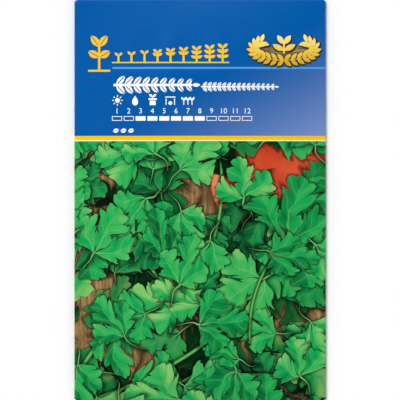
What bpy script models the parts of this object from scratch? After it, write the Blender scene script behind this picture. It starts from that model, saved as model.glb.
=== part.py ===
"""A printed paper seed packet lying on its back, and the sachet of seeds inside it.

+X is the reader's right, +Y the packet's top and +Z the side with the picture. The origin is
on the table, under the packet's middle.
"""

import math
import random

import bmesh
import bpy
from mathutils import Matrix, Vector

# Driving dimensions of the paper packet, in metres
WIDTH = 0.100
HEIGHT = 0.160
THICKNESS = 0.0065
PAPER = 0.0003
GAP = 0.0003
FLAP_HEIGHT = 0.015
FLAP_INSET = 0.0012
SEAM_OVERLAP = 0.010
SEAM_RAMP = 0.003
CUT_EDGE_RUN = 0.00005
FOLD_ROUNDING = 0.00035
CORNER_OPENING = 0.0005

# Driving dimensions of the sachet and of its seeds
SACHET_WIDTH = 0.080
SACHET_HEIGHT = 0.104
SACHET_FOIL = 0.00025
SEED_COUNT = 84
SEED_SIZE = (0.0048, 0.0024, 0.0015)
HEAP_SIZE = (0.042, 0.056, 0.0014)
SEED_LEAN = 0.25

# How finely the curved panels are divided
PACKET_COLUMNS, PACKET_ROWS = 16, 24
SACHET_COLUMNS, SACHET_ROWS = 10, 14

# Levels above the table, from the back of the packet to its front
BACK_FACE = 2 * PAPER
HOLLOW_FLOOR = BACK_FACE + PAPER
FRONT_EDGE = HOLLOW_FLOOR + GAP + PAPER
SACHET_FLOOR = HOLLOW_FLOOR + GAP
SACHET_INSIDE = SACHET_FLOOR + SACHET_FOIL
SACHET_EDGE = SACHET_INSIDE + GAP + SACHET_FOIL
SACHET_TOP = THICKNESS - PAPER - 1.5 * GAP
HEAP_MIDDLE = SACHET_INSIDE + GAP + HEAP_SIZE[2] / 2 + SEED_SIZE[2] / 2 + GAP / 2


def bulge(x, y, width, height):
    """The share of a panel's belly at a point: 1 in the middle and 0 along the edges."""
    across = 1 - (2 * x / width) ** 2
    along = 1 - (2 * y / height) ** 4
    return across * along


def front_face(x, y):
    """Outer face of the packet's front panel."""
    return FRONT_EDGE + (THICKNESS - FRONT_EDGE) * bulge(x, y, WIDTH, HEIGHT)


def seam_share(x):
    """1 on the glued overlap, falling to 0 over a ramp on the left and a cut edge on the right."""
    left = (x + SEAM_OVERLAP / 2 + SEAM_RAMP) / SEAM_RAMP
    right = (SEAM_OVERLAP / 2 + CUT_EDGE_RUN - x) / CUT_EDGE_RUN
    return max(0.0, min(1.0, left, right))


def back_face(x, y):
    """Outer face of the back: the flaps lie on the table, the seam one paper higher."""
    on_flap = abs(y) > HEIGHT / 2 - FLAP_HEIGHT - CUT_EDGE_RUN / 2
    if on_flap and abs(x) < WIDTH / 2 - FLAP_INSET + CUT_EDGE_RUN / 2:
        return 0.0
    return BACK_FACE - PAPER * seam_share(x)


def even_lines(size, count):
    """The inner lines that divide a length about 0 into equal parts."""
    return [size * (i / count - 0.5) for i in range(1, count)]


def cut_panel(width, height, x_lines, y_lines, levels, rounding, top, bottom):
    """A closed panel between two height formulas, from a box cut along the given lines.

    levels are the shares of the thickness where its rim has corners, and rounding is how far
    the rim's top and bottom edges stand back from its middle.
    """
    bm = bmesh.new()
    bmesh.ops.create_cube(bm, size=1)
    bmesh.ops.translate(bm, vec=(0, 0, 0.5), verts=bm.verts)
    bmesh.ops.scale(bm, vec=(width, height, 1), verts=bm.verts)
    cuts = [((x, 0, 0), (1, 0, 0)) for x in x_lines]
    cuts += [((0, y, 0), (0, 1, 0)) for y in y_lines]
    cuts += [((0, 0, level), (0, 0, 1)) for level in levels]
    for point, normal in cuts:
        geometry = bm.verts[:] + bm.edges[:] + bm.faces[:]
        bmesh.ops.bisect_plane(bm, geom=geometry, dist=1e-7, plane_co=point, plane_no=normal)
    for vert in bm.verts:
        x, y, share = vert.co
        on_side = abs(x) > width / 2 - 1e-6
        on_end = abs(y) > height / 2 - 1e-6
        if share < 1e-4 or share > 1 - 1e-4:
            x -= math.copysign(rounding, x) if on_side else 0
            y -= math.copysign(rounding, y) if on_end else 0
        low = bottom(vert.co.x, vert.co.y)
        high = top(x, y)
        vert.co = (x, y, low + (high - low) * share)
    return bm


def material(name, colour, roughness, metallic=0.0):
    made = bpy.data.materials.new(name)
    made.use_nodes = True
    shader = made.node_tree.nodes["Principled BSDF"]
    shader.inputs["Base Color"].default_value = (*colour, 1)
    shader.inputs["Roughness"].default_value = roughness
    shader.inputs["Metallic"].default_value = metallic
    return made


def add_object(name, bm, finish=None):
    """Turns a bmesh into a smooth-shaded object with its own material."""
    bmesh.ops.recalc_face_normals(bm, faces=bm.faces)
    mesh = bpy.data.meshes.new(name)
    bm.to_mesh(mesh)
    bm.free()
    mesh.shade_smooth()
    mesh.set_sharp_from_angle(angle=math.radians(30))
    piece = bpy.data.objects.new(name, mesh)
    bpy.context.scene.collection.objects.link(piece)
    if finish:
        mesh.materials.append(finish)
    return piece


def cut_away(piece, cutter):
    """Takes the cutter's shape out of the piece, and hides the cutter."""
    cutter.hide_render = True
    cutter.display_type = "WIRE"
    cut = piece.modifiers.new(cutter.name, "BOOLEAN")
    cut.operation = "DIFFERENCE"
    cut.solver = "EXACT"
    cut.object = cutter


def outer_packet():
    """The folded and glued paper, as one wall round the hollow that holds the sachet.

    Where the paper is glued, at the seam and the flaps, its layers are one. The flaps are cut
    narrower than the packet, so each fold stays open a little at the corners.
    """
    flap_side = WIDTH / 2 - FLAP_INSET
    flap_end = HEIGHT / 2 - FLAP_HEIGHT
    x_lines = even_lines(WIDTH, PACKET_COLUMNS)
    x_lines += [-SEAM_OVERLAP / 2 - SEAM_RAMP, -SEAM_OVERLAP / 2]
    x_lines += [SEAM_OVERLAP / 2, SEAM_OVERLAP / 2 + CUT_EDGE_RUN]
    y_lines = even_lines(HEIGHT, PACKET_ROWS)
    for side in (-1, 1):
        x_lines += [side * flap_side, side * (flap_side + CUT_EDGE_RUN)]
        y_lines += [side * flap_end, side * (flap_end - CUT_EDGE_RUN)]
    paper = cut_panel(
        WIDTH, HEIGHT, x_lines, y_lines, (1 / 3, 2 / 3), FOLD_ROUNDING, front_face, back_face
    )
    packet = add_object(
        "outer_packet", paper, material("printed paper", (0.05, 0.22, 0.16), 0.38)
    )

    hollow_width = WIDTH - 3 * PAPER
    hollow_height = HEIGHT - 3 * PAPER
    hollow = cut_panel(
        hollow_width,
        hollow_height,
        even_lines(WIDTH, PACKET_COLUMNS),
        even_lines(HEIGHT, PACKET_ROWS),
        (),
        0,
        lambda x, y: front_face(x, y) - PAPER,
        lambda x, y: HOLLOW_FLOOR,
    )
    cut_away(packet, add_object("hollow", hollow))

    openings = bmesh.new()
    opening_x = (flap_side + hollow_width / 2) / 2
    for side in (-1, 1):
        for end in (-1, 1):
            place = Matrix.Translation((side * opening_x, end * HEIGHT / 2, HOLLOW_FLOOR + GAP / 2))
            size = Matrix.Diagonal((CORNER_OPENING, 8 * PAPER, GAP * 0.7, 1))
            bmesh.ops.create_cube(openings, size=1, matrix=place @ size)
    cut_away(packet, add_object("corner_openings", openings))


def sachet():
    """Two webs sealed to each other round the seeds: a flat one at the back, a bulged one in front."""
    foil = material("sachet foil paper", (0.62, 0.60, 0.55), 0.45, 0.2)
    back = cut_panel(
        SACHET_WIDTH,
        SACHET_HEIGHT,
        (),
        (),
        (),
        0,
        lambda x, y: SACHET_INSIDE,
        lambda x, y: SACHET_FLOOR,
    )
    add_object("sachet_back", back, foil)

    def web_face(x, y):
        rise = SACHET_TOP - SACHET_EDGE
        return SACHET_EDGE + rise * bulge(x, y, SACHET_WIDTH, SACHET_HEIGHT)

    front = cut_panel(
        SACHET_WIDTH,
        SACHET_HEIGHT,
        even_lines(SACHET_WIDTH, SACHET_COLUMNS),
        even_lines(SACHET_HEIGHT, SACHET_ROWS),
        (),
        0,
        web_face,
        lambda x, y: web_face(x, y) - SACHET_FOIL,
    )
    add_object("sachet_front", front, foil.copy())


def seeds():
    """The heap of seeds, spread flat: seeds along a sunflower spiral on both faces of its core."""
    draw = random.Random(7)
    core = bmesh.new()
    size = Matrix.Diagonal((*HEAP_SIZE, 1))
    middle = Matrix.Translation((0, 0, HEAP_MIDDLE))
    bmesh.ops.create_uvsphere(
        core, u_segments=16, v_segments=6, radius=0.5, matrix=middle @ size
    )
    heap = add_object("seeds", core, material("seed husk", (0.21, 0.13, 0.06), 0.7))

    grains = bpy.data.collections.new("grains")
    golden_angle = math.pi * (3 - math.sqrt(5))
    for i in range(SEED_COUNT):
        share = math.sqrt((i + 0.5) / SEED_COUNT)
        angle = i * golden_angle
        x = HEAP_SIZE[0] / 2 * share * math.cos(angle)
        y = HEAP_SIZE[1] / 2 * share * math.sin(angle)
        side = 1 if i % 2 else -1
        depth = HEAP_SIZE[2] / 2 * math.sqrt(1 - share**2)
        turn = Matrix.Rotation(draw.uniform(0, math.pi), 4, "Z")
        lean = Matrix.Rotation(draw.uniform(-SEED_LEAN, SEED_LEAN), 4, "Y")
        place = Matrix.Translation((x, y, HEAP_MIDDLE + side * depth * 0.9))
        grain = bmesh.new()
        shape = place @ turn @ lean @ Matrix.Diagonal((*SEED_SIZE, 1))
        bmesh.ops.create_icosphere(grain, subdivisions=1, radius=0.5, matrix=shape)
        piece = add_object(f"grain_{i}", grain)
        bpy.context.scene.collection.objects.unlink(piece)
        grains.objects.link(piece)

    join = heap.modifiers.new("grains", "BOOLEAN")
    join.operation = "UNION"
    join.solver = "EXACT"
    join.operand_type = "COLLECTION"
    join.collection = grains
    joined = heap.evaluated_get(bpy.context.evaluated_depsgraph_get())
    mesh = bpy.data.meshes.new_from_object(joined)
    heap.modifiers.clear()
    heap.data = mesh
    for piece in list(grains.objects):
        bpy.data.objects.remove(piece)
    bpy.data.collections.remove(grains)


for old in list(bpy.data.objects):
    bpy.data.objects.remove(old)
outer_packet()
sachet()
seeds()
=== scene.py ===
"""Looks of a printed paper seed packet, lying on its back on a pale table."""

import math
import random

import bmesh
import bpy
from mathutils import Matrix, Vector, noise


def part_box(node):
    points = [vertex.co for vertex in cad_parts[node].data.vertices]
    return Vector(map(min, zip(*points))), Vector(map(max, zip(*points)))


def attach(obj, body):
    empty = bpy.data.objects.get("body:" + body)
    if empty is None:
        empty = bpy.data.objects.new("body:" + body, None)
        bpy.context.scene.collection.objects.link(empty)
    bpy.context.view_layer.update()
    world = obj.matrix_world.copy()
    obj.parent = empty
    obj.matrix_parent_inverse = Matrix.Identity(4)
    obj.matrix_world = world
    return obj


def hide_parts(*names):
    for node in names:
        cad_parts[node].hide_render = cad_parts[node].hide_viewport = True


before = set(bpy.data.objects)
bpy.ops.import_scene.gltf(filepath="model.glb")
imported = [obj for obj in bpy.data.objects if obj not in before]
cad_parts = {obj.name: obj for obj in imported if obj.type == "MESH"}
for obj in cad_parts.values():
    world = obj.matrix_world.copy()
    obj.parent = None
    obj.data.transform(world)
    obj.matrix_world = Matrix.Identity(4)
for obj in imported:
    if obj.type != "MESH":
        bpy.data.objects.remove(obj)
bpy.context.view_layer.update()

# The studio: a pale table, and light from all sides but straight above, so that the flat print
# shows its colours without glare. The camera looks straight down, and the packet just overfills
# its height.
TABLE_SIZE = 8.0
LENS = 500
SENSOR = 36
PACKET_SHARE = 0.6278
packet_low, packet_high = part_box("outer_packet")
WIDTH = packet_high[0] - packet_low[0]
HEIGHT = packet_high[1] - packet_low[1]
THICKNESS = packet_high[2]


class Tone:
    """A number that varies over a surface. Arithmetic on it adds the Math nodes."""

    def __init__(self, surface, socket):
        self.surface = surface
        self.socket = socket

    def math(self, operation, *others):
        settings = {"operation": operation}
        return self.surface.node("ShaderNodeMath", settings, [self, *others])[0]

    def __add__(self, other):
        return self.math("ADD", other)

    def __sub__(self, other):
        return self.math("SUBTRACT", other)

    def __mul__(self, other):
        return self.math("MULTIPLY", other)

    def __truediv__(self, other):
        return self.math("DIVIDE", other)

    def __pow__(self, other):
        return self.math("POWER", other)

    def __rsub__(self, other):
        return (self * -1) + other

    __radd__ = __add__
    __rmul__ = __mul__

    def __abs__(self):
        return self.math("ABSOLUTE")


class Nodes:
    """The nodes of a material or a group, added with plain calls."""

    def __init__(self, tree):
        self.nodes = tree.nodes
        self.links = tree.links

    def node(self, kind, settings=None, values=()):
        """Adds a node: its settings first, then its sockets. Returns its outputs as tones."""
        made = self.nodes.new(kind)
        for name, value in (settings or {}).items():
            if name == "stops":
                self.set_stops(made.color_ramp, value)
            else:
                setattr(made, name, value)
        pairs = values.items() if isinstance(values, dict) else enumerate(values)
        for name, value in pairs:
            self.feed(made.inputs[name], value)
        return [Tone(self, socket) for socket in made.outputs]

    def set_stops(self, ramp, stops):
        while len(ramp.elements) < len(stops):
            ramp.elements.new(0.5)
        for element, (place, colour) in zip(ramp.elements, stops):
            element.position = place
            element.color = (*colour, 1)

    def feed(self, socket, value):
        if isinstance(value, Tone):
            self.links.new(value.socket, socket)
        elif socket.type == "RGBA" and len(value) == 3:
            socket.default_value = (*value, 1)
        else:
            socket.default_value = value

    def vector(self, operation, values):
        return self.node("ShaderNodeVectorMath", {"operation": operation}, values)[0]

    def axes(self, vector):
        return self.node("ShaderNodeSeparateXYZ", None, [vector])

    def step(self, value, low, high):
        """0 below low and 1 above high, with a smooth change between them."""
        settings = {"interpolation_type": "SMOOTHSTEP"}
        values = {"Value": value, "From Min": low, "From Max": high}
        return self.node("ShaderNodeMapRange", settings, values)[0]

    def mix(self, share, one, other):
        """The colour one where share is 0 and the colour other where it is 1."""
        settings = {"data_type": "RGBA", "clamp_factor": True}
        return self.node("ShaderNodeMix", settings, {0: share, 6: one, 7: other})[2]

    def ramp(self, value, stops):
        return self.node("ShaderNodeValToRGB", {"stops": stops}, [value])[0]

    def noise(self, vector, scale, detail=2.0, roughness=0.5):
        values = {"Vector": vector, "Scale": scale, "Detail": detail, "Roughness": roughness}
        return self.node("ShaderNodeTexNoise", None, values)


class Surface(Nodes):
    """A material. Fixed values go straight onto the shader's own sockets."""

    def __init__(self, name, **fixed):
        self.material = bpy.data.materials.new(name)
        self.material.use_nodes = True
        super().__init__(self.material.node_tree)
        self.shader = self.nodes["Principled BSDF"]
        for socket, value in fixed.items():
            self.set(socket.replace("_", " "), value)

    def set(self, socket, value):
        self.feed(self.shader.inputs[socket], value)

    def place(self):
        """The point on the surface, in the object's own metres."""
        return self.node("ShaderNodeTexCoord")[3]

    def bump(self, height, distance, strength):
        values = {"Height": height, "Distance": distance, "Strength": strength}
        self.set("Normal", self.node("ShaderNodeBump", None, values)[0])


def pale_table():
    bm = bmesh.new()
    bmesh.ops.create_grid(bm, x_segments=8, y_segments=8, size=TABLE_SIZE / 2)
    mesh = bpy.data.meshes.new("table")
    bm.to_mesh(mesh)
    bm.free()
    table = bpy.data.objects.new("table", mesh)
    bpy.context.scene.collection.objects.link(table)
    surface = Surface("matt table", Roughness=0.9, Specular_IOR_Level=0.1)
    surface.set("Base Color", (0.97, 0.97, 0.97))
    mesh.materials.append(surface.material)


def soft_light():
    scene = bpy.context.scene
    scene.view_settings.view_transform = "Standard"
    world = bpy.data.worlds.new("studio")
    scene.world = world
    world.use_nodes = True
    nodes = world.node_tree.nodes
    links = world.node_tree.links
    direction = nodes.new("ShaderNodeTexCoord")
    height = nodes.new("ShaderNodeSeparateXYZ")
    ramp = nodes.new("ShaderNodeValToRGB")
    links.new(direction.outputs["Generated"], height.inputs[0])
    links.new(height.outputs["Z"], ramp.inputs[0])
    links.new(ramp.outputs[0], nodes["Background"].inputs["Color"])
    ramp.color_ramp.elements[0].position = 0.35
    ramp.color_ramp.elements[0].color = (1.0, 1.0, 1.0, 1)
    ramp.color_ramp.elements[1].position = 0.85
    ramp.color_ramp.elements[1].color = (0.03, 0.03, 0.03, 1)
    nodes["Background"].inputs["Strength"].default_value = 1.1

    lamp = bpy.data.lights.new("soft key", "SUN")
    lamp.energy = 2.7
    lamp.angle = math.radians(30)
    key = bpy.data.objects.new("soft key", lamp)
    scene.collection.objects.link(key)
    key.rotation_euler = (math.radians(-38), math.radians(-28), 0)


def camera_above():
    data = bpy.data.cameras.new("camera")
    data.lens = LENS
    data.sensor_width = SENSOR
    data.clip_end = 50
    camera = bpy.data.objects.new("camera", data)
    bpy.context.scene.collection.objects.link(camera)
    camera.location = (0, 0, WIDTH / PACKET_SHARE * LENS / SENSOR)
    bpy.context.scene.camera = camera


pale_table()
soft_light()
camera_above()

# The packet's paper: one coated sheet, cut to a cross-shaped blank and printed, then folded into a
# flat tube with a glued seam along the back. The tabs at its ends fold over the back and are glued.
SHEET = 0.00016
FRONT_EDGE = 0.0015
BACK_LEVEL = 2.2 * SHEET
SEAM_OVERLAP = 0.010
SEAM_RAMP = 0.003
FLAP_HEIGHT = 0.015
FLAP_TAPER = 0.05
CELL = 0.00125
FOLD_STEPS = 8
SIDE_FOLD = (FRONT_EDGE - BACK_LEVEL) / 2
END_FOLD = FRONT_EDGE / 2
SEAM_STEP = SHEET + 0.00001
SACHET_HALF = (0.040, 0.052)

# How far the sachet's outline, the puckers beside the flaps, the paper's slow waves and single seeds
# show in the front, and what is left above them all
OUTLINE_STEP = 0.00022
PUCKER_STEP = 0.00035
WAVE_STEP = 0.00022
SEED_STEP = 0.00006
TOP_CLEARANCE = 0.0004

# On the flat blank, from its middle: where the folds begin, where they end, and its outer ends
FLAT_HALF = (WIDTH / 2 - SIDE_FOLD, HEIGHT / 2 - END_FOLD)
TURNED_HALF = (FLAT_HALF[0] + math.pi * SIDE_FOLD, FLAT_HALF[1] + math.pi * END_FOLD)
PANEL_END = TURNED_HALF[0] + FLAT_HALF[0] + SEAM_OVERLAP / 2
FLAP_END = TURNED_HALF[1] + FLAP_HEIGHT - END_FOLD

# The sheet's map: the share of its one picture that a metre takes on the front, the back panels and
# the inside, the margin between them, and how far the cut edges stand out from the inside
FRONT_SHARE = 5.1
BACK_SHARE = 3.6
INSIDE_SHARE = 2.1
MAP_MARGIN = 0.005
CUT_EDGE = 0.001


def ease(share):
    """A smooth step from 0 to 1."""
    share = max(0.0, min(1.0, share))
    return share * share * (3 - 2 * share)


def belly(x, y):
    """Height that the sachet gives the front, with its outline, puckers and seeds."""
    across = 1 - (2 * x / WIDTH) ** 2
    along = 1 - (2 * y / HEIGHT) ** 4
    rise = (THICKNESS - FRONT_EDGE - TOP_CLEARANCE) * max(0.0, across) * max(0.0, along)
    inside = min(SACHET_HALF[0] - abs(x), SACHET_HALF[1] - abs(y))
    outline = OUTLINE_STEP * ease(0.5 + inside / 0.003)
    to_end = HEIGHT / 2 - FLAP_HEIGHT * 0.7 - abs(y)
    near_end = ease(to_end / 0.008) * ease(1 - (to_end - 0.008) / 0.022)
    fan = noise.noise(Vector((x * 130, math.copysign(3, y), 0.5)))
    pucker = PUCKER_STEP * near_end * across * fan
    wave = WAVE_STEP * across * along * noise.noise(Vector((x * 34, y * 26, 4.7)))
    seeds = SEED_STEP * ease(inside / 0.012) * noise.noise(Vector((x * 420, y * 420, 1.3)))
    return rise + outline * across * along + pucker + wave + seeds


def front_level(x, y):
    """Outer face of the front panel at a point."""
    return FRONT_EDGE + belly(x, y)


def seam_share(x):
    """1 where the left back panel laps over the seam, and 0 where it lies level with the right."""
    left = (x + SEAM_OVERLAP / 2 + SEAM_RAMP) / SEAM_RAMP
    return max(0.0, min(1.0, left)) if x < SEAM_OVERLAP / 2 else 0.0


def folded(across, along):
    """Where a point of the flat blank lands. The front panel is the blank's middle."""
    side = math.copysign(1, across)
    run = abs(across) - FLAT_HALF[0]
    end = math.copysign(1, along)
    reach = abs(along) - FLAT_HALF[1]
    x, y = across, along
    if run > 0:
        turn = min(math.pi, run / SIDE_FOLD)
        past = max(0.0, run - math.pi * SIDE_FOLD)
        x = side * (FLAT_HALF[0] + SIDE_FOLD * math.sin(turn) - past)
        low = BACK_LEVEL
        if side < 0 and past > 0:
            low -= SEAM_STEP * seam_share(x)
        high = front_level(side * FLAT_HALF[0], y)
        return Vector((x, y, (high + low) / 2 + (high - low) / 2 * math.cos(turn)))
    if reach > 0:
        turn = min(math.pi, reach / END_FOLD)
        past = max(0.0, reach - math.pi * END_FOLD)
        y = end * (FLAT_HALF[1] + END_FOLD * math.sin(turn) - past)
        x *= 1 - FLAP_TAPER * past / FLAP_HEIGHT
        low = (BACK_LEVEL - 1.1 * SHEET) * (1 - seam_share(x) * min(1.0, past / 0.002))
        low = max(low, 0.0)
        high = front_level(across, end * FLAT_HALF[1])
        return Vector((x, y, (high + low) / 2 + (high - low) / 2 * math.cos(turn)))
    return Vector((x, y, front_level(x, y)))


def spaced(low, high, step):
    """Places from low up to high, evenly, about a step apart, with high left out."""
    count = max(1, round((high - low) / step))
    return [low + (high - low) * i / count for i in range(count)]


FLAT_COLUMNS = spaced(-FLAT_HALF[0], FLAT_HALF[0], CELL)
FLAT_ROWS = spaced(-FLAT_HALF[1], FLAT_HALF[1], CELL)


def blank_lines():
    """The blank's columns and rows: close together in the folds, and wide apart on the back."""
    side_step = math.pi * SIDE_FOLD / FOLD_STEPS
    end_step = math.pi * END_FOLD / FOLD_STEPS
    columns = spaced(-PANEL_END, -TURNED_HALF[0], 2 * CELL)
    columns += spaced(-TURNED_HALF[0], -FLAT_HALF[0], side_step)
    columns += FLAT_COLUMNS + spaced(FLAT_HALF[0], TURNED_HALF[0], side_step)
    columns += spaced(TURNED_HALF[0], PANEL_END, 2 * CELL) + [PANEL_END]
    rows = spaced(-FLAP_END, -TURNED_HALF[1], 2 * CELL)
    rows += spaced(-TURNED_HALF[1], -FLAT_HALF[1], end_step)
    rows += FLAT_ROWS + spaced(FLAT_HALF[1], TURNED_HALF[1], end_step)
    rows += spaced(TURNED_HALF[1], FLAP_END, 2 * CELL) + [FLAP_END]
    return columns, rows


def folded_sheet():
    """The printed blank, cut at its corners, folded, given its thickness and mapped."""
    columns, rows = blank_lines()
    bm = bmesh.new()
    flat = bm.verts.layers.float_vector.new("flat")
    bm.loops.layers.uv.new("OFBake")
    bmesh.ops.create_grid(bm, x_segments=len(columns) - 1, y_segments=len(rows) - 1, size=0.5)
    for vert in bm.verts:
        column = round((vert.co.x + 0.5) * (len(columns) - 1))
        row = round((vert.co.y + 0.5) * (len(rows) - 1))
        vert.co = (columns[column], rows[row], 0)
    cut_off = []
    for face in bm.faces:
        middle = face.calc_center_median()
        if abs(middle.x) > FLAT_HALF[0] and abs(middle.y) > FLAT_HALF[1]:
            cut_off.append(face)
        face.material_index = 1 if abs(middle.x) > TURNED_HALF[0] else 0
    bmesh.ops.delete(bm, geom=cut_off, context="FACES")
    for vert in bm.verts:
        vert[flat] = vert.co
        vert.co = folded(vert.co.x, vert.co.y)
    bm.normal_update()
    printed = set(bm.faces)
    outer = set(bm.verts)
    bmesh.ops.solidify(bm, geom=bm.faces[:], thickness=SHEET)
    for face in bm.faces:
        face.smooth = True
        if face not in printed:
            face.material_index = 2
    lay_out_map(bm, flat, printed, outer)
    bm.verts.layers.float_vector.remove(flat)
    mesh = bpy.data.meshes.new("folded_sheet")
    bm.to_mesh(mesh)
    bm.free()
    return mesh


def lay_out_map(bm, flat, printed, outer):
    """Lays the sheet out flat on its map: the front large, at the left, and right of it both back
    panels over the inside, which the cut edges frame."""
    uv = bm.loops.layers.uv.active
    right_part = 3 * MAP_MARGIN + 2 * TURNED_HALF[0] * FRONT_SHARE
    panel = (PANEL_END - TURNED_HALF[0]) * BACK_SHARE + MAP_MARGIN
    for face in bm.faces:
        places = [vert[flat] for vert in face.verts]
        middle = sum(places, Vector()) / len(places)
        upright = max(place.x for place in places) - min(place.x for place in places) < 1e-6
        for loop in face.loops:
            across, along, _ = loop.vert[flat]
            if face in printed and abs(middle.x) < TURNED_HALF[0]:
                left = MAP_MARGIN + (across + TURNED_HALF[0]) * FRONT_SHARE
                low = MAP_MARGIN + (along + FLAP_END) * FRONT_SHARE
            elif face in printed:
                left = right_part + (abs(across) - TURNED_HALF[0]) * BACK_SHARE
                left += panel if middle.x < 0 else 0
                low = 1 - MAP_MARGIN - (FLAT_HALF[1] - along) * BACK_SHARE
            else:
                if loop.vert in outer and upright:
                    across += math.copysign(CUT_EDGE, across)
                elif loop.vert in outer:
                    along += math.copysign(CUT_EDGE, along)
                left = right_part + (across + PANEL_END + CUT_EDGE) * INSIDE_SHARE
                low = MAP_MARGIN + (along + FLAP_END + CUT_EDGE) * INSIDE_SHARE
            loop[uv].uv = (left, low)


# Millimetres from the packet's middle: the header's rule, the stripe, the hairline under it and the
# band on the back
RULE_LEVEL = 52.5
STRIPE_TOP = 25.47
STRIPE_LOW = 23.8
PICTURE_TOP = 23.4
BAND_LOW = 46.0

# The picture's leaves: the angle between two leaflets, the teeth on each and the range of greens
LEAFLET_ANGLE = math.radians(52)
LEAF_TEETH = 3.5
LEAF_GREENS = (
    (0.00, (0, 64, 38)),
    (0.30, (6, 134, 66)),
    (0.55, (24, 170, 84)),
    (0.80, (68, 186, 94)),
    (1.00, (140, 206, 112)),
)

# The clay dish, and the places on the picture where no leaf is rooted, each with its clear radius
DISH = (29, 9)
DISH_RADIUS = 25
OPEN_PLACES = ((36, 14, 17), (14, 21, 9), (-46, -56, 10))

# Stems between the lower and the upper leaves: start, end, bend to the left and half width
LOW_STEMS = (
    ((-54, -78), (-8, -26), 4, 0.9),
    ((-52, -82), (18, -44), -5, 0.8),
    ((-46, -84), (34, -70), 5, 0.9),
    ((-14, -34), (-32, 4), 3, 0.7),
    ((2, -24), (8, 16), -3, 0.7),
    ((16, -46), (42, -14), 4, 0.7),
)
HIGH_STEMS = (
    ((-6, -38), (-22, -4), -3, 0.6),
    ((20, -58), (28, -24), 3, 0.6),
)


def print_colour(red, green, blue):
    """The linear colour of a print colour given in 8-bit sRGB."""

    def linear(value):
        value /= 255
        return value / 12.92 if value <= 0.04045 else ((value + 0.055) / 1.055) ** 2.4

    return (linear(red), linear(green), linear(blue))


def header_colour(surface, x, y):
    """Plain blue, paler towards its lower right, with a light-blue rule from the left third."""
    towards = x * 0.0116 - y * 0.0209 + 0.988
    paler = towards.math("MAXIMUM", 0.0) ** 1.75
    blue = surface.mix(paler, print_colour(0, 88, 164), print_colour(118, 143, 198))
    rule = surface.step(abs(y - RULE_LEVEL) * -1, -0.45, -0.3) * surface.step(x, -35, -34.6)
    return surface.mix(rule, blue, print_colour(78, 158, 222))


def turned_by(x, y, cosine, sine):
    """The point (x, y) turned about the middle, as two tones."""
    return x * cosine - y * sine, x * sine + y * cosine


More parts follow.
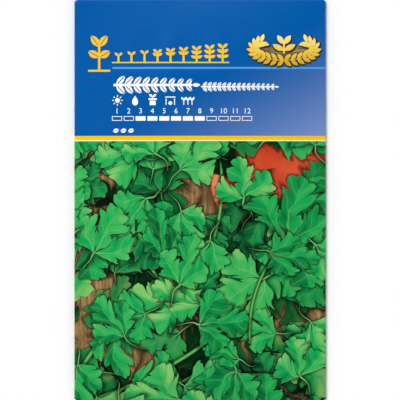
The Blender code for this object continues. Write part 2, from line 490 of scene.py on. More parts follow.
def leaf_scatter():
    """A node group that prints a scatter of leaves, each of three toothed leaflets, over a colour."""
    tree = bpy.data.node_groups.new("leaf scatter", "ShaderNodeTree")
    numbers = ("X", "Y", "Shift", "Turn", "Spacing", "Size", "Light", "Thin")
    tree.interface.new_socket("Below", in_out="INPUT", socket_type="NodeSocketColor")
    for name in numbers:
        tree.interface.new_socket(name, in_out="INPUT", socket_type="NodeSocketFloat")
    tree.interface.new_socket("Printed", in_out="OUTPUT", socket_type="NodeSocketColor")
    group = Nodes(tree)
    below, x, y, shift, turn, spacing, size, light, thin, _ = group.node("NodeGroupInput")

    # Each cell of a jittered grid holds one leaf, and a hash of its place gives the leaf's draws
    u, v = turned_by(x, y, turn.math("COSINE"), turn.math("SINE"))
    u = u + shift
    v = v - shift
    flat = group.node("ShaderNodeCombineXYZ", None, [u, v, 0.0])[0]
    settings = {"voronoi_dimensions": "2D", "feature": "F1"}
    values = {"Vector": flat, "Scale": spacing ** -1.0, "Randomness": 0.6}
    cell_u, cell_v, _ = group.axes(group.node("ShaderNodeTexVoronoi", settings, values)[2])
    draw = (cell_u * 0.713 + cell_v * 1.179).math("SINE") * 951.3
    heading = draw.math("FRACT") * (2 * math.pi)
    growth = (draw * 7.1).math("FRACT")
    hue = (draw * 3.7).math("FRACT")
    squint = (draw * 11.3).math("FRACT")

    # Along and across the leaf, in its own length. One seen from its side looks narrower
    off_u = u - cell_u
    off_v = v - cell_v
    length = size * (growth * 0.45 + 0.75)
    p, q = turned_by(off_u, off_v, heading.math("COSINE"), heading.math("SINE"))
    p = p / length + 0.45
    q = q / length * (squint * squint * 0.8 + 1)

    # Three leaflets spread from the leaf's foot as wedges, with blunt teeth that grow towards the end
    radius = (p * p + q * q) ** 0.5
    angle = abs(q).math("ARCTAN2", p)
    outer = angle.math("GREATER_THAN", LEAFLET_ANGLE / 2)
    off = angle - outer * LEAFLET_ANGLE
    along = radius * off.math("COSINE")
    across = radius * off.math("SINE")
    aside = abs(across)
    reach = along / (1 - outer * 0.22)
    share = reach.math("MAXIMUM", 0.0).math("MINIMUM", 1.0)
    beyond = (reach - 1).math("MAXIMUM", 0.0)
    rank = (along - aside) * LEAF_TEETH
    teeth = abs((rank * math.pi).math("SINE"))
    fine_teeth = abs((rank * (4 * math.pi)).math("SINE"))
    width = share ** 1.2 * (1 - share) ** 0.55 * 0.95
    cut = teeth * (share * 0.5 + 0.15) + fine_teeth * 0.09 + 0.46
    blade = width * cut - aside - beyond * 1.5
    stalk = (abs(p + 0.25) * -1 + 0.30).math("MINIMUM", p * 0.03 + 0.022 - abs(q))
    edge = blade.math("MAXIMUM", stalk)

    # No leaf in the open places, and fewer upper leaves over the hollows between the sprays
    back_x, back_y = turned_by(off_u, off_v, turn.math("COSINE"), turn.math("SINE") * -1)
    root_x = x - back_x
    root_y = y - back_y
    hollow = (root_x * 0.095 + root_y * 0.03 + 0.9).math("SINE")
    hollow = hollow * (root_y * 0.088 - root_x * 0.025 + 0.4).math("SINE")
    there = hollow.math("GREATER_THAN", thin)
    for place_x, place_y, clear in OPEN_PLACES:
        far = (root_x - place_x) ** 2.0 + (root_y - place_y) ** 2.0
        there = there * far.math("GREATER_THAN", clear * clear)

    # Each half of a leaflet tilts its own way, and the blade swells between its veins
    facing = group.step(across * q.math("SIGN"), -0.07, 0.07) * 2 - 1
    lit = (heading + turn + 0.6).math("SINE")
    vein_gap = abs(rank.math("FRACT") - 0.5)
    swell = (along * 9 + hue * 6).math("SINE") * (aside * 16 + squint * 6).math("SINE")
    shade = hue * 0.46 + facing * lit * 0.19 + share * 0.14 + 0.28
    shade = shade + swell * 0.08 - group.step(vein_gap, 0.30, 0.5) * 0.10
    green = group.ramp(shade, [(place, print_colour(*green)) for place, green in LEAF_GREENS])
    vein = (1 - group.step(aside, 0.002, 0.018)) * (1 - share * 0.8) * 0.5
    rib = (1 - group.step(vein_gap, 0.0, 0.10)) * group.step(along, 0.1, 0.3) * 0.16
    rim = (1 - group.step(edge, 0.005, 0.03)) * 0.2
    on_stalk = group.step(stalk - blade, 0.0, 0.01) * 0.7
    marks = vein.math("MAXIMUM", rib).math("MAXIMUM", rim).math("MAXIMUM", on_stalk)
    green = group.mix(marks, green, print_colour(150, 212, 124))
    green = group.mix(1 - light, green, (0.0, 0.0, 0.0))
    shadow = group.step(edge, -0.16, 0.03) * there * 0.86
    below = group.mix(shadow, below, print_colour(0, 9, 6))
    printed = group.mix(group.step(edge, 0.0, 0.016) * there, below, green)
    group.node("NodeGroupOutput", None, [printed])
    return tree


def stem(surface, below, x, y, start, end, bend, width):
    """A round, pale-green stem from start to end, bent to one side and thin at both ends."""
    run = Vector(end) - Vector(start)
    heading = run.normalized()
    along, across = turned_by(x - start[0], y - start[1], heading.x, -heading.y)
    share = along / run.length
    arch = share * (1 - share) * (4 * bend)
    aside = abs(across - arch) / width + (abs(share - 0.5) * 2) ** 8.0
    green = surface.ramp(
        aside,
        [(0.0, print_colour(132, 190, 96)), (0.5, print_colour(60, 148, 66)),
         (1.0, print_colour(8, 70, 36))],
    )
    shadow = (1 - surface.step(aside, 0.6, 3.0)) * 0.75
    below = surface.mix(shadow, below, print_colour(0, 14, 10))
    return surface.mix(1 - surface.step(aside, 0.85, 1.1), below, green)


def wooden_board(surface, x, y):
    """A brown board with its grain nearly along the packet."""
    stretched = surface.node("ShaderNodeCombineXYZ", None, [x * 0.5 + y * 0.02, y * 0.05, 0.0])[0]
    grain = surface.noise(stretched, 1.6, 6.0, 0.65)[0]
    return surface.ramp(
        grain,
        [(0.25, print_colour(56, 40, 24)), (0.5, print_colour(138, 106, 66)),
         (0.75, print_colour(188, 154, 104))],
    )


def clay_dish(surface, below, x, y, mottle):
    """A round terracotta dish on the board: a rim lit from the left, and a shaded hollow."""
    side_x = (x - DISH[0]) / DISH_RADIUS
    side_y = (y - DISH[1]) / DISH_RADIUS
    out = (side_x * side_x + side_y * side_y) ** 0.5
    rim = surface.step(out, 0.80, 0.86)
    tone = (rim * 2 - 1) * (side_y - side_x) * 0.24 + rim * 0.16 + (mottle - 0.5) * 0.5 + 0.42
    clay = surface.ramp(
        tone,
        [(0.0, print_colour(120, 32, 16)), (0.35, print_colour(198, 66, 36)),
         (0.65, print_colour(226, 104, 66)), (1.0, print_colour(238, 160, 116))],
    )
    shadow = (1 - surface.step(out, 0.95, 1.25)) * 0.7
    below = surface.mix(shadow, below, print_colour(24, 14, 8))
    return surface.mix(1 - surface.step(out, 0.985, 1.0), below, clay)


def herb_picture(surface, x, y):
    """Layers of leaves over a board and a dish: dark below, bright on top, with stems between."""
    spot = surface.node("ShaderNodeCombineXYZ", None, [x, y, 0.0])[0]
    drift_x, drift_y, mottle = surface.node(
        "ShaderNodeSeparateColor", None, [surface.noise(spot, 0.09, 1.0)[1]]
    )
    picture = clay_dish(surface, wooden_board(surface, x, y), x, y, mottle)
    leaf_x = x + (drift_x - 0.5) * 8
    leaf_y = y + (drift_y - 0.5) * 8
    draw = random.Random(11)
    leaves = leaf_scatter()
    layers = 11
    for i in range(layers):
        rise = i / (layers - 1)
        spacing = draw.uniform(29, 39)
        values = {
            "Below": picture,
            "X": leaf_x,
            "Y": leaf_y,
            "Shift": draw.uniform(-40, 40),
            "Turn": draw.uniform(0, 2 * math.pi),
            "Spacing": spacing,
            "Size": spacing * 0.62,
            "Light": 0.04 + 0.88 * ease(rise / 0.65),
            "Thin": -1.2 + 0.85 * rise,
        }
        picture = surface.node("ShaderNodeGroup", {"node_tree": leaves}, values)[0]
        for start, end, bend, width in {4: LOW_STEMS, 8: HIGH_STEMS}.get(i, ()):
            picture = stem(surface, picture, x, y, start, end, bend, width)
    return picture


def front_print():
    """The front's print: header, a yellow stripe over a pale hairline, and the herb picture."""
    surface = Surface("front print", Specular_IOR_Level=0.17)
    place = surface.place()
    x, y, _ = surface.axes(surface.vector("SCALE", {0: place, 3: 1000.0}))
    header = header_colour(surface, x, y)
    picture = herb_picture(surface, x, y)
    hairline = print_colour(255, 246, 196)
    stripe = print_colour(246, 197, 6)
    colour = surface.mix(surface.step(y, PICTURE_TOP - 0.1, PICTURE_TOP + 0.1), picture, hairline)
    colour = surface.mix(surface.step(y, STRIPE_LOW - 0.1, STRIPE_LOW + 0.1), colour, stripe)
    colour = surface.mix(surface.step(y, STRIPE_TOP - 0.1, STRIPE_TOP + 0.1), colour, header)

    # The coating cracks along the folds, where the white fibres show in short flecks
    to_fold = (abs(x) - WIDTH * 500).math("MAXIMUM", abs(y) - HEIGHT * 500) * -1
    fleck = surface.noise(place, 1400, 3.0, 0.6)[0]
    worn = (1 - surface.step(to_fold, 0.05, 0.25)) * surface.step(fleck, 0.58, 0.64) * 0.5
    colour = surface.mix(worn, colour, print_colour(236, 234, 228))
    surface.set("Base Color", colour)
    haze = surface.noise(place, 60, 3.0)[0]
    surface.set("Roughness", haze * 0.10 + worn * 0.4 + 0.23)
    pressed = surface.noise(place, 2600, 2.0)[0]
    surface.bump(pressed, 0.00002, 0.35)
    return surface.material


def back_print():
    """The back's print: a pale panel, and a blue band with a yellow line at its top."""
    surface = Surface("back print", Specular_IOR_Level=0.25)
    place = surface.place()
    y = surface.axes(surface.vector("SCALE", {0: place, 3: 1000.0}))[1]
    fibre = surface.noise(place, 900, 5.0, 0.6)[0]
    pale = surface.mix(fibre, print_colour(250, 247, 236), print_colour(240, 236, 220))
    line = surface.step(y, BAND_LOW - 1.4, BAND_LOW - 1.2)
    colour = surface.mix(line, pale, print_colour(252, 203, 15))
    band = surface.mix(fibre, print_colour(0, 92, 170), print_colour(6, 98, 176))
    colour = surface.mix(surface.step(y, BAND_LOW - 0.1, BAND_LOW + 0.1), colour, band)
    surface.set("Base Color", colour)
    surface.set("Roughness", fibre * 0.2 + 0.34)
    surface.bump(fibre, 0.00003, 0.5)
    return surface.material


def bare_paper():
    """Uncoated white paper: the sheet's inside and its cut edges."""
    surface = Surface("bare paper", Specular_IOR_Level=0.3)
    fibre = surface.noise(surface.place(), 1300, 6.0, 0.7)[0]
    surface.set("Base Color", surface.mix(fibre, (0.90, 0.89, 0.86), (0.80, 0.79, 0.75)))
    surface.set("Roughness", fibre * 0.2 + 0.65)
    surface.bump(fibre, 0.00004, 0.7)
    return surface.material


def printed_packet():
    mesh = folded_sheet()
    sheet = bpy.data.objects.new("printed_packet", mesh)
    bpy.context.scene.collection.objects.link(sheet)
    for finish in (front_print(), back_print(), bare_paper()):
        mesh.materials.append(finish)
    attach(sheet, "root")
    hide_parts("outer_packet")


printed_packet()

# The inks on the header: plants, a laurel, signs and month numbers, printed over the blue in opaque
# yellow, gold and white. Each ink is a thin film of flat shapes that follows the paper, and where two
# of its shapes cross, one lies a step over the other.
INK_LIFT = 0.00003
INK_STEP = 0.000002
YELLOW_INK = print_colour(247, 200, 8)
WHITE_INK = print_colour(250, 252, 255)


def lens(bm, foot, heading, length, width, vein=0.0):
    """A pointed leaf from its foot along a heading, split along its middle by a bare vein."""
    turn = Matrix.Translation((*foot, 0)) @ Matrix.Rotation(heading, 4, "Z")
    for side in (-1, 1):
        made = bmesh.ops.create_circle(bm, cap_ends=True, segments=20, radius=1)
        for vert in made["verts"]:
            along = (vert.co.x + 1) / 2 * length
            out = max(0.0, side * vert.co.y)
            place = Vector((along, side * (out * out * width / 2 + vein / 2), 0))
            vert.co = turn @ place


def disc(bm, middle, radius, segments):
    turn = Matrix.Translation((*middle, 0))
    bmesh.ops.create_circle(bm, cap_ends=True, segments=segments, radius=radius, matrix=turn)


def stroke(bm, path, width, steps=16):
    """A ribbon along a path, which gives a point for each share from 0 to 1."""
    made = bmesh.ops.create_grid(bm, x_segments=steps, y_segments=1, size=1)
    for vert in made["verts"]:
        share = (vert.co.x + 1) / 2
        point = Vector(path(share))
        ahead = Vector(path(share + 0.01)) - Vector(path(share - 0.01))
        normal = Vector((-ahead.y, ahead.x)).normalized()
        vert.co = (*(point + normal * (vert.co.y * width / 2)), 0)


def straight(start, end):
    return lambda share: Vector(start).lerp(Vector(end), share)


def bar(bm, left, low, right, high):
    middle = (low + high) / 2
    stroke(bm, straight((left, middle), (right, middle)), high - low, 1)


def frame_line(bm, left, low, right, high, width):
    """The four sides of a printed box."""
    bar(bm, left, low, right, low + width)
    bar(bm, left, high - width, right, high)
    bar(bm, left, low + width, left + width, high - width)
    bar(bm, right - width, low + width, right, high - width)


def sprig(bm, start, end, leaf, pairs, width):
    """A straight stem with leaves in pairs that lean forward and shrink towards the tip."""
    run = Vector(end) - Vector(start)
    heading = math.atan2(run.y, run.x)
    stroke(bm, straight(start, end), width)
    for i in range(pairs):
        share = (i + 0.35) / pairs
        foot = Vector(start) + run * share
        size = leaf * (1 - 0.35 * share)
        for side in (-1, 1):
            lens(bm, foot, heading + side * math.radians(48), size, size * 0.42, width * 0.35)
    lens(bm, end, heading, leaf * 0.7, leaf * 0.3)


def ink(name, solid, patchy=0.04):
    """Printing ink: its colour breaks up a little over the paper."""
    surface = Surface(name, Roughness=0.34, Specular_IOR_Level=0.25)
    patch = surface.noise(surface.place(), 900, 3.0)[0]
    thin = tuple(value * (1 - patchy) + patchy * 0.3 for value in solid)
    surface.set("Base Color", surface.mix(patch, solid, thin))
    return surface.material


def stack_shapes(bm):
    """Lifts each shape a hair over those it may cross, so that no two of them share a plane."""
    seen = set()
    laid = []
    for first in bm.verts:
        if first in seen:
            continue
        seen.add(first)
        shape = [first]
        for vert in shape:
            near = {edge.other_vert(vert) for edge in vert.link_edges} - seen
            seen |= near
            shape.extend(near)
        low = [min(vert.co[axis] for vert in shape) for axis in (0, 1)]
        high = [max(vert.co[axis] for vert in shape) for axis in (0, 1)]
        taken = set()
        for rank, other_low, other_high in laid:
            if all(low[i] <= other_high[i] and other_low[i] <= high[i] for i in (0, 1)):
                taken.add(rank)
        rank = min(set(range(len(taken) + 1)) - taken)
        laid.append((rank, low, high))
        for vert in shape:
            vert.co.z = rank * INK_STEP


def on_sheet(level, x, y):
    """Height of the sheet's mesh at a point: the level at its cell's four corners, blended."""
    step_x = FLAT_COLUMNS[1] - FLAT_COLUMNS[0]
    step_y = FLAT_ROWS[1] - FLAT_ROWS[0]
    column = math.floor((x - FLAT_COLUMNS[0]) / step_x)
    row = math.floor((y - FLAT_ROWS[0]) / step_y)
    left = FLAT_COLUMNS[0] + column * step_x
    low = FLAT_ROWS[0] + row * step_y
    across = (x - left) / step_x
    up = (y - low) / step_y
    near = level(left, low) * (1 - across) + level(left + step_x, low) * across
    far = level(left, low + step_y) * (1 - across) + level(left + step_x, low + step_y) * across
    return near * (1 - up) + far * up


def lay_film(name, bm, finish, level, lift, facing=1):
    """Cuts flat shapes along the sheet's own grid, so that they lie flush, and lays them on it."""
    stack_shapes(bm)
    bmesh.ops.remove_doubles(bm, verts=bm.verts, dist=1e-7)
    bmesh.ops.triangulate(bm, faces=bm.faces)
    for axis, lines in enumerate((FLAT_COLUMNS, FLAT_ROWS)):
        low = min(vert.co[axis] for vert in bm.verts)
        high = max(vert.co[axis] for vert in bm.verts)
        for line in lines:
            if not low < line < high:
                continue
            normal = Vector((0, 0, 0))
            normal[axis] = 1
            geometry = bm.verts[:] + bm.edges[:] + bm.faces[:]
            bmesh.ops.bisect_plane(
                bm, geom=geometry, dist=1e-7, plane_co=normal * line, plane_no=normal
            )
    for face in bm.faces:
        face.normal_update()
        if face.normal.z * facing < 0:
            face.normal_flip()
        face.smooth = True
    for vert in bm.verts:
        vert.co.z = on_sheet(level, vert.co.x, vert.co.y) + (lift + vert.co.z) * facing
    mesh = bpy.data.meshes.new(name)
    bm.to_mesh(mesh)
    bm.free()
    mesh.materials.append(finish)
    film = bpy.data.objects.new(name, mesh)
    bpy.context.scene.collection.objects.link(film)
    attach(film, "root")


def sprout_emblem():
    """The yellow seedling at the header's left: two seed leaves, two young leaves and the soil."""
    bm = bmesh.new()
    foot = Vector((-0.0401, 0.0518))
    bar(bm, foot.x - 0.0044, foot.y - 0.0008, foot.x + 0.0044, foot.y)
    stroke(bm, straight(foot, foot + Vector((0, 0.0100))), 0.0009)
    for side in (-1, 1):
        heading = math.pi / 2 - side * math.radians(62)
        lens(bm, foot + Vector((0, 0.0050)), heading, 0.0049, 0.0027, 0.0003)
        heading = math.pi / 2 - side * math.radians(36)
        lens(bm, foot + Vector((0, 0.0092)), heading, 0.0054, 0.0026, 0.0003)
    lay_film("sprout_emblem", bm, ink("yellow ink", YELLOW_INK), front_level, INK_LIFT)


def growth_row():
    """A row of yellow plants that grow from a seed to full leaf, on one line of soil."""
    bm = bmesh.new()
    left, right, soil = -0.0350, 0.0116, 0.0549
    stages = 9
    bar(bm, left, soil - 0.0005, right, soil)
    for i in range(stages):
        share = i / (stages - 1)
        x = left + (right - left) * (i + 0.5) / stages
        tall = 0.0024 + 0.0032 * share
        leaf = 0.0020 + 0.0006 * share
        stroke(bm, straight((x, soil), (x, soil + tall)), 0.0008, 4)
        for rank in range(1 + i // 3):
            foot = (x, soil + tall * (1 - 0.34 * rank))
            for side in (-1, 1):
                heading = math.pi / 2 - side * math.radians(50 + 10 * rank)
                lens(bm, foot, heading, leaf, leaf * 0.5)
    lay_film("growth_row", bm, ink("yellow row ink", YELLOW_INK), front_level, INK_LIFT)


def laurel(bm, middle, half, spread):
    """Two leafy branches that cross below a seedling and open round it to both sides. A spread
    widens every shape, for an edge round them."""
    for side in (-1, 1):

        def branch(share, side=side):
            angle = math.radians(-97 + 140 * share)
            out = Vector((side * half.x * math.cos(angle), half.y * math.sin(angle)))
            return middle + out

        stroke(bm, branch, 0.0004 + spread, 24)
        for i in range(11):
            share = (i + 0.6) / 11
            foot = branch(share)
            ahead = branch(share + 0.01) - foot
            heading = math.atan2(ahead.y, ahead.x)
            for lean in (-0.75, 0.75):
                size = 0.0036 + spread
                lens(bm, foot - ahead.normalized() * spread / 2, heading + lean, size, 0.0016 + spread)
    root = middle + Vector((0, -0.0018))
    stroke(bm, straight(root, root + Vector((0, 0.0040))), 0.0007 + spread, 2)
    for rank, size in ((0, 0.0052), (1, 0.0044)):
        foot = root + Vector((0, 0.0012 + 0.0026 * rank))
        for side in (-1, 1):
            heading = math.pi / 2 - side * math.radians(62 - 24 * rank)
            lens(bm, foot - Vector((0, spread / 2)), heading, size + spread, 0.0022 + spread)


def gold_badge():
    """The badge at the header's right: a gold laurel, edged in dark brown, over a brown plank."""
    middle = Vector((0.0334, 0.0600))
    half = Vector((0.0118, 0.0044))
    length = 0.0282
    plank = bmesh.new()

    def plank_line(share):
        lift = 0.0004 * math.sin(share * 19) * math.sin(share * math.pi)
        return middle + Vector(((share - 0.5) * length, (share - 0.5) * 0.0016 - 0.0012 + lift))

    stroke(plank, plank_line, 0.0046, 24)
    for vert in plank.verts:
        share = (vert.co.x - middle.x) / length + 0.5
        line = plank_line(share)
        taper = max(0.06, min(1.0, 5.0 * share, 5.0 * (1 - share)))
        vert.co.y = line.y + (vert.co.y - line.y) * taper
    wood = Surface("brown plank ink", Roughness=0.36, Specular_IOR_Level=0.25)
    x, y, z = wood.axes(wood.place())
    grain = wood.node("ShaderNodeCombineXYZ", None, [x, y * 9, z])[0]
    stops = [(0.3, print_colour(70, 58, 34)), (0.5, print_colour(128, 114, 78)),
             (0.7, print_colour(176, 166, 132))]
    wood.set("Base Color", wood.ramp(wood.noise(grain, 240, 4.0, 0.6)[0], stops))
    lay_film("badge_plank", plank, wood.material, front_level, INK_LIFT)

    edge = bmesh.new()
    laurel(edge, middle + Vector((0.0002, -0.0002)), half, 0.0006)
    brown = ink("brown ink", print_colour(46, 38, 18))
    lay_film("laurel_edge", edge, brown, front_level, 2 * INK_LIFT)

    gold = Surface("gold ink", Roughness=0.3, Specular_IOR_Level=0.4)
    x, y, _ = gold.axes(gold.place())
    patch = gold.noise(gold.place(), 700, 3.0)[0]
    tone = (y - middle.y) * 70 + patch * 0.5 + 0.3
    stops = [(0.0, print_colour(190, 150, 36)), (0.5, print_colour(240, 202, 74)),
             (1.0, print_colour(252, 236, 150))]
    gold.set("Base Color", gold.ramp(tone, stops))
    top = bmesh.new()
    laurel(top, middle, half, 0.0)
    lay_film("laurel_gold", top, gold.material, front_level, 3 * INK_LIFT)


def white_sprigs():
    """In white, a bold leafy sprig, a finer one after it, and three seeds near the stripe."""
    bm = bmesh.new()
    sprig(bm, (-0.0344, 0.0457), (-0.0032, 0.0457), 0.0048, 9, 0.0010)
    sprig(bm, (0.0004, 0.0450), (0.0296, 0.0450), 0.0026, 15, 0.0005)
    for i in range(3):
        lens(bm, (-0.0346 + 0.0030 * i, 0.0272), 0.3, 0.0025, 0.0015, 0.0002)
    lay_film("white_sprigs", bm, ink("white ink", WHITE_INK, 0.02), front_level, INK_LIFT)


def sun_sign(bm, middle, size):
    disc(bm, middle, 0.8 * size, 16)
    for i in range(8):
        ray = Matrix.Rotation(i * math.pi / 4, 2) @ Vector((size, 0))
        stroke(bm, straight(middle + ray * 1.15, middle + ray * 1.75), 0.32 * size, 1)


def drop_sign(bm, middle, size):
    made = bmesh.ops.create_circle(bm, cap_ends=True, segments=20, radius=1)
    for vert in made["verts"]:
        up = (vert.co.y + 1) / 2
        wide = vert.co.x * (1 - up * up * 0.8) * 1.15
        vert.co = (*(middle + Vector((wide, vert.co.y * 1.6 - 0.1)) * size), 0)


def pot_sign(bm, middle, size):
    bar(bm, middle.x - 1.4 * size, middle.y + 0.1 * size, middle.x + 1.4 * size, middle.y + 0.7 * size)
    bar(bm, middle.x - size, middle.y - 1.6 * size, middle.x + size, middle.y - 0.1 * size)
    top = middle + Vector((0, 0.7)) * size
    stroke(bm, straight(top, top + Vector((0, 0.6)) * size), 0.3 * size, 1)
    for side in (-1, 1):
        lens(bm, top + Vector((0, 0.4)) * size, math.pi / 2 - side * 0.9, 1.5 * size, 0.8 * size)


def depth_sign(bm, middle, size):
    """A seed under the line of the soil, between two depth marks."""
    bar(bm, middle.x - 1.7 * size, middle.y + 0.9 * size, middle.x + 1.7 * size, middle.y + 1.25 * size)
    disc(bm, middle + Vector((0, -0.9)) * size, 0.65 * size, 14)
    for side in (-1, 1):
        high = middle + Vector((side * 1.4, 0.6)) * size
        stroke(bm, straight(high, high + Vector((0, -2.1)) * size), 0.32 * size, 1)


def rows_sign(bm, middle, size):
    """Three plants in a row, a hand's width apart."""
    for i in (-1, 0, 1):
        foot = middle + Vector((i * 1.35, -1.5)) * size
        stroke(bm, straight(foot, foot + Vector((0, 1.7)) * size), 0.32 * size, 1)
        for side in (-1, 1):
            lens(bm, foot + Vector((0, 1.4)) * size, math.pi / 2 - side * 0.6, 1.5 * size, 0.7 * size)


SIGNS = (sun_sign, drop_sign, pot_sign, depth_sign, rows_sign)


def sowing_signs():
    """A row of small white signs: sun, water, pot, seed depth and rows."""
    bm = bmesh.new()
    for i, sign in enumerate(SIGNS):
        sign(bm, Vector((-0.0328 + 0.0070 * i, 0.0396)), 0.0012)
    lay_film("sowing_signs", bm, ink("sign ink", WHITE_INK, 0.02), front_level, INK_LIFT)


def number_shapes(bm, body, middle, size):
    """A plain number, centred on a point."""
    curve = bpy.data.curves.new("number", "FONT")
    curve.body = body
    curve.size = size
    curve.align_x = "CENTER"
    curve.align_y = "CENTER"
    curve.resolution_u = 3
    text = bpy.data.objects.new("number", curve)
    bpy.context.scene.collection.objects.link(text)
    flat = bpy.data.meshes.new_from_object(text)
    flat.transform(Matrix.Translation((*middle, 0)))
    bm.from_mesh(flat)
    bpy.data.objects.remove(text)
    bpy.data.meshes.remove(flat)
    bpy.data.curves.remove(curve)


def month_strip():
    """A sowing calendar: the month numbers, and under them a box for each, filled from 3 to 8."""
    bm = bmesh.new()
    left, pitch, numbers, low, high = -0.0330, 0.0047, 0.0353, 0.0315, 0.0333
    for month in range(1, 13):
        x = left + pitch * (month - 1)
        number_shapes(bm, str(month), (x, numbers), 0.0030)
        if 3 <= month <= 8:
            bar(bm, x - 0.0020, low, x + 0.0020, high)
        else:
            frame_line(bm, x - 0.0020, low, x + 0.0020, high, 0.00025)
    lay_film("month_strip", bm, ink("calendar ink", WHITE_INK, 0.02), front_level, INK_LIFT)


sprout_emblem()
growth_row()
gold_badge()
white_sprigs()
sowing_signs()
month_strip()

# The back: a pale panel on both halves of the folded sheet, printed in blue and green on each side
# of the seam. Its shapes are laid out as seen from behind, and turned over onto the paper.
GREEN_INK = print_colour(22, 138, 70)
BLUE_INK = print_colour(0, 84, 160)


def back_level(x, y):
    """Outer face of the back panels at a point. The left one laps over the seam."""
    return BACK_LEVEL - SEAM_STEP * seam_share(x)


def lay_on_back(name, bm, finish):
    for vert in bm.verts:
        vert.co.x *= -1
    lay_film(name, bm, finish, back_level, INK_LIFT, -1)


def back_signs():
    """Down the back's left, a box for each sowing sign, with a plain number beside it."""
    bm = bmesh.new()
    for i, (sign, number) in enumerate(zip(SIGNS, ("6", "2", "14", "1", "25"))):
        middle = Vector((-0.0372, 0.0350 - 0.0195 * i))
        frame_line(bm, middle.x - 0.0066, middle.y - 0.0066, middle.x + 0.0066, middle.y + 0.0066, 0.0005)
        sign(bm, middle, 0.0026)
        number_shapes(bm, number, (middle.x + 0.0152, middle.y), 0.0072)
        bar(bm, middle.x + 0.0100, middle.y - 0.0054, middle.x + 0.0204, middle.y - 0.0049)
    lay_on_back("back_signs", bm, ink("blue ink", BLUE_INK))


def back_calendar():
    """Right of the seam, a calendar: month numbers, and three rows of months to sow and pick."""
    blue = bmesh.new()
    green = bmesh.new()
    left, top, pitch, cell = 0.0084, 0.0400, 0.00285, 0.0062
    for row, months in enumerate((range(3, 6), range(4, 9), range(6, 12))):
        low = top - 0.0030 - cell * (row + 1)
        frame_line(blue, left, low, left + 12 * pitch, low + cell, 0.0003)
        for month in months:
            start = left + pitch * (month - 1)
            bar(green, start + 0.0002, low + 0.0012, start + pitch - 0.0002, low + cell - 0.0012)
    for month in range(1, 13):
        number_shapes(blue, str(month), (left + pitch * (month - 0.5), top - 0.0012), 0.0022)
    lay_on_back("back_calendar", blue, ink("calendar line ink", BLUE_INK))
    lay_on_back("back_months", green, ink("green month ink", GREEN_INK))


def back_herb():
    """Below the calendar, a herb in green: a stem with lobed leaves in pairs, and its roots."""
    bm = bmesh.new()
    foot = Vector((0.0255, -0.0480))
    top = foot + Vector((0, 0.0500))
    bar(bm, 0.0084, foot.y - 0.0006, 0.0426, foot.y)
    stroke(bm, straight(foot, top), 0.0009)
    leaves = [(top, math.pi / 2, 0.0070)]
    for rank in range(4):
        joint = foot + Vector((0, 0.0080 + 0.0105 * rank))
        for side in (-1, 1):
            heading = math.pi / 2 - side * math.radians(52)
            end = joint + Vector((math.cos(heading), math.sin(heading))) * (0.0115 - 0.0018 * rank)
            stroke(bm, straight(joint, end), 0.0006)
            leaves.append((end, heading, 0.0062 - 0.0004 * rank))
    for end, heading, size in leaves:
        for turn in (-84, -42, 0, 42, 84):
            lobe = size * (1 - 0.004 * abs(turn))
            lens(bm, end, heading + math.radians(turn), lobe, lobe * 0.46, 0.0002)
    for i in range(7):
        heading = -math.pi / 2 + math.radians(20 * (i - 3))
        root = Vector((math.cos(heading), math.sin(heading)))
        stroke(bm, straight(foot, foot + root * (0.0080 - 0.0008 * abs(i - 3))), 0.0004, 2)
    lay_on_back("back_herb", bm, ink("green leaf ink", GREEN_INK))


def back_ruler():
    """Up the back's right edge, a ruler in half centimetres with plain numbers."""
    bm = bmesh.new()
    edge, low = 0.0478, -0.0560
    for i in range(21):
        y = low + 0.005 * i
        long = 0.0024 if i % 2 == 0 else 0.0014
        bar(bm, edge - long, y - 0.00015, edge, y + 0.00015)
        if i % 2 == 0 and 0 < i < 20:
            number_shapes(bm, str(i // 2), (edge - 0.0036, y), 0.0028)
    lay_on_back("back_ruler", bm, ink("ruler ink", BLUE_INK))


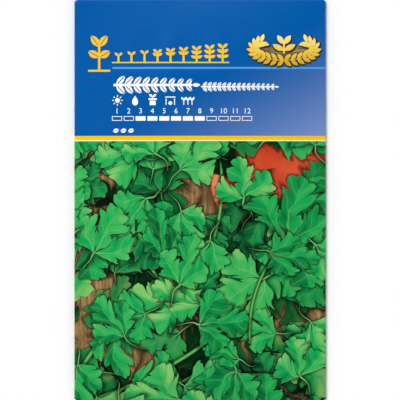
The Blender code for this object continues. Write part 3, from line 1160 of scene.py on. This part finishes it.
def back_band_sprig():
    """On the blue band at the back's top, one white sprig on each side of the seam."""
    bm = bmesh.new()
    sprig(bm, (-0.0420, 0.0555), (-0.0130, 0.0555), 0.0044, 8, 0.0008)
    sprig(bm, (0.0420, 0.0555), (0.0130, 0.0555), 0.0044, 8, 0.0008)
    lay_on_back("back_band_sprig", bm, ink("white back ink", WHITE_INK, 0.02))


back_signs()
back_calendar()
back_herb()
back_ruler()
back_band_sprig()

# The sachet inside, which keeps the seeds dry: two webs of paper lined with foil and plastic, cut to
# one size and heat-sealed to each other round their edge. The seal is crimped in fine ribs.
SEAL_WIDTH = 0.006


def sachet_paper():
    surface = Surface("sachet paper", Specular_IOR_Level=0.4)
    place = surface.place()
    x, y, _ = surface.axes(place)
    inset = (SACHET_HALF[0] - abs(x)).math("MINIMUM", SACHET_HALF[1] - abs(y))
    sealed = 1 - surface.step(inset, SEAL_WIDTH - 0.0002, SEAL_WIDTH + 0.0002)
    rib = ((x + y) * 9000).math("SINE") * sealed
    fibre = surface.noise(place, 420, 5.0, 0.65)[0]
    crease = surface.noise(place, 46, 4.0, 0.6)[0]
    # Painted shade: the crease and rib terms darken the colour in the hollows of the wrinkles and between
    # the crimp ribs, over the same relief that the bump gives
    tone = fibre * 0.5 + crease * 0.4 + rib * 0.05
    stops = [(0.25, print_colour(196, 192, 180)), (0.6, print_colour(236, 233, 224))]
    surface.set("Base Color", surface.ramp(tone, stops))
    surface.set("Roughness", fibre * 0.25 + 0.4)
    surface.bump(crease + rib * 0.12 + fibre * 0.1, 0.0003, 0.5)
    return surface.material


sachet = sachet_paper()
for node in ("sachet_back", "sachet_front"):
    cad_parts[node].material_slots[0].material = sachet

# The seeds: ripe herb seeds, dried and cleaned, with ribs along their husks. They lie loose in one
# shallow heap in the sachet's middle, and its webs press them together.
def seed_husk():
    """Ribbed, grey-brown herb seeds, with paler ribs along them and some darker than the rest."""
    surface = Surface("seed husk", Specular_IOR_Level=0.3)
    place = surface.place()
    grain = surface.noise(place, 2600, 4.0, 0.6)[0]
    batch = surface.noise(place, 260, 2.0)[0]
    stops = [(0.2, print_colour(66, 50, 30)), (0.5, print_colour(128, 104, 68)),
             (0.8, print_colour(186, 164, 118))]
    surface.set("Base Color", surface.ramp(grain * 0.7 + batch * 0.4 - 0.05, stops))
    surface.set("Roughness", grain * 0.3 + 0.5)
    surface.bump(grain, 0.0002, 0.6)
    return surface.material


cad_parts["seeds"].material_slots[0].material = seed_husk()
